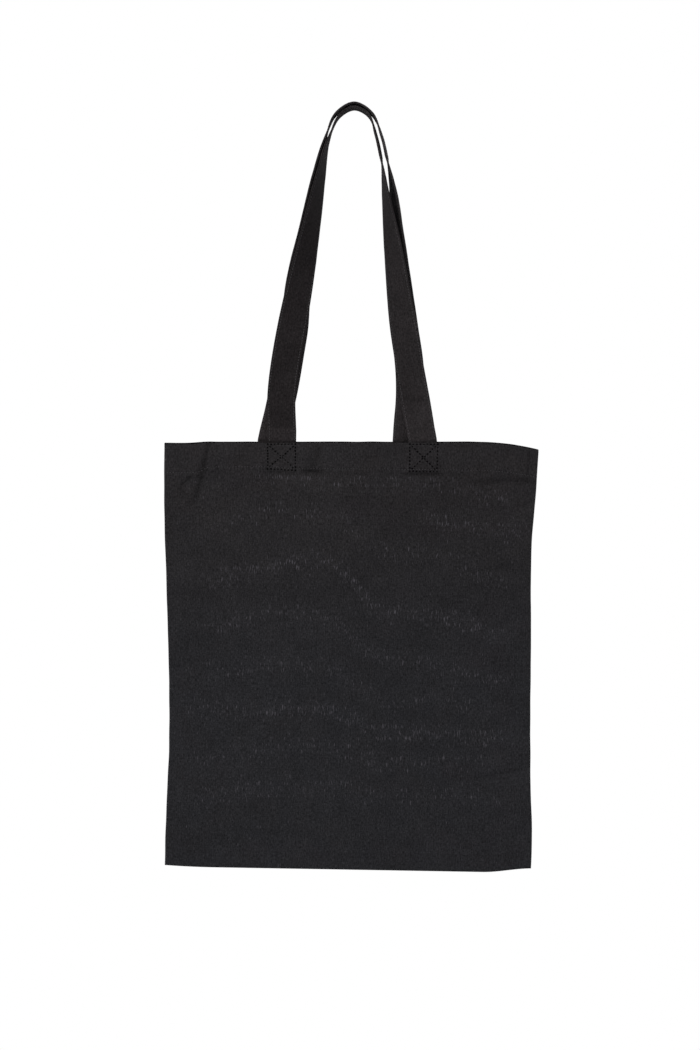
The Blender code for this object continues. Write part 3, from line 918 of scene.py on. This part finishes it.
def stitched(name, threads, dimples=(), material=THREAD):
    """One mesh of many stitches, and of needle dimples in a near-black material: painted shade in the needle
    holes.

    threads and dimples hold arrays shaped (stitches, stations, sides, 3).
    """
    skin = ring_faces(len(STATIONS), SIDES)
    faces, offset = [], 0
    for group in (*threads, *dimples):
        each = np.arange(len(group))[:, None, None] * (len(STATIONS) * SIDES)
        faces.append((outward(group[0], skin)[None] + each).reshape(-1, 4) + offset)
        offset += group.size // 3
    points = np.concatenate([group.reshape(-1, 3) for group in (*threads, *dimples)])
    piece = mesh_object(name, points, np.concatenate(faces), material)
    paint(piece, weave=np.stack([points[:, 0], points[:, 2], points[:, 1]], -1))
    if dimples:
        piece.data.materials.append(NEEDLE_HOLE_SHADE)
        index = np.ones(len(piece.data.polygons), np.int32)
        index[:sum(len(group) for group in threads) * len(skin)] = 0
        piece.data.polygons.foreach_set("material_index", index)
    return piece


def row_of_stitches(place, low, high, wander, seed, pitch=STITCH):
    """(starts, ends) of a row of stitches from low to high along place(t)."""
    count = max(1, round((high - low) / pitch))
    knots = np.linspace(low, high, count + 1)
    rng = np.random.default_rng(seed)
    jitter = rng.uniform(-wander, wander, count + 1)
    gap = 0.13 * pitch
    return place(knots[:-1] + gap, jitter[:-1]), place(knots[1:] - gap, jitter[1:])


def row_of_dimples(place, low, high, along, way, size, seed, pitch=STITCH):
    """Small near-black dimples that face way: painted shade where the needle pulled the thread into the
    cloth.
    """
    count = max(1, round((high - low) / pitch))
    rng = np.random.default_rng(seed)
    middle = place(np.linspace(low, high, count + 1), rng.uniform(-0.00015, 0.00015, count + 1))
    size = size * rng.uniform(0.75, 1.15, count + 1)
    half = (np.zeros_like(middle) + (along[0], 0.0, along[1])) * size[:, None] * 0.62
    group = stitch_points(middle - half, middle + half, facing(middle, way), 0.5, 0.11, 0.0, 1.0)
    steps = (2 * half)[:, None, None] * STATIONS[None, :, None, None]
    centre = (middle - half)[:, None, None] + steps
    return centre + (group - centre) * size[:, None, None, None]


def strap_face_y(strap, side, x):
    """y of a sewn strap end's inner face, a little proud of it for thread."""
    end = min((0, -1), key=lambda i: abs(x.mean() - strap.line[i][0]))
    # A known fault: the right end's slope is used for both ends, so the threads on the inside
    # of the front handle's left end lie tilted off the cloth. across[end] would mend it.
    slope = strap.across[-1][1] / strap.across[-1][0]
    proud = side * (STRAP_THICKNESS / 2 + STITCH_RADIUS * 0.3)
    return strap.line[end][1] + (x - strap.line[end][0]) * slope - proud


def make_box_stitch(name, side, x, strap, seed):
    """A boxed cross through hem and strap end, with the needle's dimples on both faces."""
    half = STRAP_WIDTH / 2 - BOX_STITCH_INSET
    low, high = TOP - SEWN_DEPTH + BOX_STITCH_INSET, TOP - 0.0013
    corners = np.array([(x - half, low), (x + half, low), (x + half, high), (x - half, high)])
    threads, dimples = [], []
    for on_hem in (True, False):
        way = side if on_hem else -side
        size = BOX_DIMPLE if on_hem else STRAP_DIMPLE
        for k, (i, j) in enumerate(((0, 1), (1, 2), (2, 3), (3, 0), (0, 2), (1, 3))):
            start, end = corners[i], corners[j]
            length = float(np.linalg.norm(end - start))
            along = (end - start) / length
            cross = np.array([-along[1], along[0]])

            def place(t, jitter):
                px, pz = (start + np.outer(t, along) + np.outer(jitter, cross)).T
                if on_hem:
                    return panel_point(side, px, pz, False, STITCH_RADIUS * 0.30)
                return np.stack([px, strap_face_y(strap, side, px), pz], -1)

            starts, ends = row_of_stitches(place, 0.0, length, 0.00030, seed + k, BOX_STITCH)
            threads.append(stitch_points(starts, ends, facing(starts, way)))
            dimples.append(row_of_dimples(place, 0.0, length, along, way, size, seed + k + 50, BOX_STITCH))
    return stitched(name, threads, dimples, BOX_THREAD)


# ---- build: panels and hem rows

front_cloth, front_x = make_panel("front_panel_cloth", FRONT, 0.0, 0.97)
back_cloth, _ = make_panel("back_panel_cloth", BACK, 0.0016, 0.42)
swing_with_mouth(front_cloth, side_weight(front_x))
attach(back_cloth, "bag_back")
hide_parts("front_panel")
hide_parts("back_panel")

HEM_REACH = WIDTH / 2 - 0.0020
HALF_ROW = 0.1838  # half the bag's width along the stitch row, drawn to its own outline


def hem_rows(name, side, outer_reach, inner_reach, seed):
    """The hem's stitch rows on a panel's outer and inner face, with the needle's dimples."""
    def place(x, jitter, inner, proud):
        return panel_point(side, x, TOP - HEM_STITCH_DROP + jitter, inner, proud)

    threads, dimples = [], []
    faces = ((0, side, outer_reach), (1, -side, inner_reach))
    for inner, way, reach in faces:
        thread = partial(place, inner=inner, proud=STITCH_RADIUS * 0.35)
        starts, ends = row_of_stitches(thread, -reach, reach, 0.00022, seed + inner)
        threads.append(stitch_points(starts, ends, facing(starts, way), 1.1, 1.0, 1.3))
    for inner, way, reach in faces:
        hole = partial(place, inner=inner, proud=0.00002)
        dimples.append(row_of_dimples(hole, -reach, reach, (1.0, 0.0), way, HEM_DIMPLE, seed + 7))
    return stitched(name, threads, dimples)


front_rows = hem_rows("front_hem_rows", FRONT, HEM_REACH, WIDTH / 2 - 0.012, 101)
back_rows = hem_rows("back_hem_rows", BACK, HEM_REACH, WIDTH / 2 - 0.012, 111)
row_x = np.array([v.co.x for v in front_rows.data.vertices])
swing_with_mouth(front_rows, side_weight(row_x * (WIDTH / 2) / HALF_ROW))
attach(back_rows, "bag_back")
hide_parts("front_hem_stitch")
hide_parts("back_hem_stitch")


# ---- build: straps

front_slope = (bow(STRAPS_AT[FRONT][1], TOP) - bow(STRAPS_AT[FRONT][1] + 0.0002, TOP)) / 0.0002
front_tilt = -math.atan(float(front_slope))
front_strap = Strap(FRONT, FRONT_ROUTE, front_tilt, 41)
back_strap = Strap(BACK, BACK_ROUTE, 0.0, 51)


def fold_with(piece, panel_body, loop_body):
    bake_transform(piece)


front_band = make_strap("front_strap", front_strap)
back_band = make_strap("back_strap", back_strap)
fold_with(front_band, "bag_front", "front_loop")
fold_with(back_band, "bag_back", "back_loop")
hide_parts("front_handle", "front_handle_left_end", "front_handle_right_end")
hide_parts("back_handle", "back_handle_left_end", "back_handle_right_end")


def make_edge_row(name, strap, aside, seed):
    """Topstitching along one edge of a handle, on both of its faces."""
    start_s = SEWN_DEPTH + 0.0015
    groups = []
    for face in (1, -1):
        def place(s, jitter):
            a = aside + jitter
            return strap.at(s, a, strap.surface(s, a, face) + face * STITCH_RADIUS * 0.30)

        starts, ends = row_of_stitches(place, start_s, strap.length - start_s, 0.00012, seed + face)
        middle_s = np.linspace(start_s, strap.length - start_s, len(starts))
        groups.append(stitch_points(starts, ends, face * strap.pick(strap.out, middle_s)))
    return stitched(name, groups, material=EDGE_THREAD)


EDGE_ROW = STRAP_WIDTH / 2 - EDGE_STITCH_INSET
SEWN_STRAPS = (
    (front_strap, "front", "bag_front", "front_loop"),
    (back_strap, "back", "bag_back", "back_loop"),
)
for strap, word, panel_body, loop_body in SEWN_STRAPS:
    for place_word, aside, seed in (("outer", -EDGE_ROW, 201), ("inner", EDGE_ROW, 211)):
        row = make_edge_row(f"{word}_{place_word}_topstitch", strap, aside, seed)
        fold_with(row, panel_body, loop_body)
        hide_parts(f"{word}_handle_{place_word}_stitch")

for strap, word, panel_body, _ in SEWN_STRAPS:
    for place_word, x, seed in zip(("left", "right"), STRAPS_AT[strap.side], (301, 321)):
        cross = make_box_stitch(f"{word}_{place_word}_cross_stitch", strap.side, x, strap, seed)
        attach(cross, panel_body)
        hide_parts(f"{word}_{place_word}_box_stitch")


# ---- build: seam allowances

def make_allowance(name, low, high, upright, seed):
    """Two raw edges of cloth sewn together and wrapped in overlock thread.

    The strip runs along z if upright, else along x. The wrapped edge faces the bag's inside.
    """
    wave = Waves(seed, 0.030)
    along0, along1 = (low.z, high.z) if upright else (low.x, high.x)
    if upright:
        fold, raw = (low.x, high.x) if abs(low.x) > abs(high.x) else (high.x, low.x)
    else:
        fold, raw = low.z, high.z
    stations = np.linspace(along0, along1, round((along1 - along0) / 0.003) + 1)
    half = (high.y - low.y) / 2 - 0.00015
    middle_y = (low.y + high.y) / 2
    shares = np.array([0.0, 0.06, 0.20, 0.45, 0.70, 0.86, 0.94, 0.985, 1.0])
    thick = np.array([0.35, 0.8, 0.95, 1.0, 1.0, 0.96, 0.86, 0.6, 0.3]) * half
    reach = 1 + 0.05 * wave(stations, 0.0)[:, None] * shares[None, :]
    across = fold + (raw - fold) * shares[None, :] * reach
    bend = 0.00018 * wave(stations[:, None], shares[None, :] * 0.02)

    def at(station, cross, y):
        station, cross, y = np.broadcast_arrays(station, cross, y)
        return np.stack([cross, y, station] if upright else [station, y, cross], -1)

    near = at(stations[:, None], across, middle_y - thick[None, :] + bend)
    far = at(stations[:, None], across, middle_y + thick[None, :] + bend)
    rings = np.concatenate([near, far[:, ::-1]], 1)
    # fit the strip to the bag's real outline
    rings[..., 0], rings[..., 2] = outline(rings[..., 0], rings[..., 2])
    strip = ringed(name, rings, OVERLOCK)
    paint(
        strip,
        weave=np.stack([rings[..., 0], rings[..., 2], rings[..., 1]], -1),
        tone=np.ones(rings.shape[:2]),
        speckle=np.zeros(rings.shape[:2]),
    )
    # the thread's loops, on both faces: out over the raw edge and back, slanting, and along
    knots = np.arange(along0 + 0.0015, along1 - 0.0035, 0.0024)
    sign = 1.0 if raw > fold else -1.0
    inset, rim = raw - sign * 0.0058, raw - sign * 0.0003
    groups = []
    for face in (-1, 1):
        y = middle_y + face * (half + STITCH_RADIUS * 0.4)
        for begin, finish, from_edge, to_edge, wide, sink in (
            (0.0, 0.0010, inset, rim, 1.15, 0.8),
            (0.0010, 0.0024, rim, inset, 1.15, 0.8),
            (0.0, 0.0022, inset, inset, 1.0, 1.0),
        ):
            starts, ends = at(knots + begin, from_edge, y), at(knots + finish, to_edge, y)
            for points in (starts, ends):
                points[:, 0], points[:, 2] = outline(points[:, 0], points[:, 2])
            groups.append(stitch_points(starts, ends, facing(starts, face), wide, 1.0, sink))
    return strip, stitched(f"{name}_thread", groups)


for seam, upright, seed in (("left_seam", True, 61), ("right_seam", True, 62), ("bottom_seam", False, 63)):
    low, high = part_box(seam)
    strip, loops = make_allowance(f"{seam}_allowance", low, high, upright, seed)
    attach(strip, "bag_back")
    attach(loops, "bag_back")
    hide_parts(seam)

for slot, pieces in (
    ("canvas", (front_cloth, back_cloth)),
    ("strap", (front_band, back_band)),
    ("thread", (front_rows, back_rows)),
):
    for piece in pieces:
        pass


# ---- floor, light, camera

FLOOR_LEVEL = -1.16
FLOOR_REACH = 1.30


def make_floor():
    around = np.linspace(0, math.tau, 97)[:-1]
    radii = np.array([FLOOR_REACH, FLOOR_REACH * 0.6, FLOOR_REACH * 0.25, 0.02])
    level = np.full((len(radii), len(around)), FLOOR_LEVEL)
    points = np.stack([np.outer(radii, np.cos(around)), np.outer(radii, np.sin(around)), level], -1)
    faces = band_faces(len(radii), len(around))
    n = Nodes("pale_floor", 0.8, 0.0, 0.5, (1, 1, 1), 0.2)
    cloud = n.noise(n.add("NewGeometry", {}, "Position"), 3.0)
    n.put(n.shader.inputs["Base Color"], n.mix(cloud, (0.80, 0.80, 0.80), (0.86, 0.86, 0.86)))
    floor = mesh_object("floor", points, faces, n.material)
    floor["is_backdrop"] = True


def area_light(name, place, target, size, power, color):
    data = bpy.data.lights.new(name, "AREA")
    data.shape = "RECTANGLE"
    data.size, data.size_y = size
    data.energy = power
    data.color = color
    lamp = add_object(name, data)
    lamp.location = place
    lamp.rotation_euler = (Vector(target) - Vector(place)).to_track_quat("-Z", "Y").to_euler()


make_floor()
world = bpy.data.worlds.new("studio")
world.use_nodes = True
background = world.node_tree.nodes["Background"]
background.inputs["Color"].default_value = (1.0, 1.0, 1.0, 1.0)
background.inputs["Strength"].default_value = 1.0
bpy.context.scene.world = world
bpy.context.scene.view_settings.view_transform = "Standard"

MIDDLE = (0.0, 0.0, -0.42)
area_light("key", (-1.7, -1.5, 1.35), MIDDLE, (1.1, 1.1), 42.0, (1.0, 0.99, 0.97))
area_light("fill_behind", (1.5, 1.8, 0.8), MIDDLE, (1.2, 1.2), 22.0, (0.97, 0.98, 1.0))

FRAME_HEIGHT = 1.0374  # what the camera sees from top to bottom at the bag
DISTANCE = 3.3
camera = bpy.data.cameras.new("camera")
camera.sensor_width = 36.0
camera.lens = camera.sensor_width * DISTANCE / FRAME_HEIGHT
camera_object = add_object("camera", camera)
camera_object.location = (-0.001, -DISTANCE, -0.411)
camera_object.rotation_euler = (math.pi / 2, 0.0, 0.0)
bpy.context.scene.camera = camera_object

low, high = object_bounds()
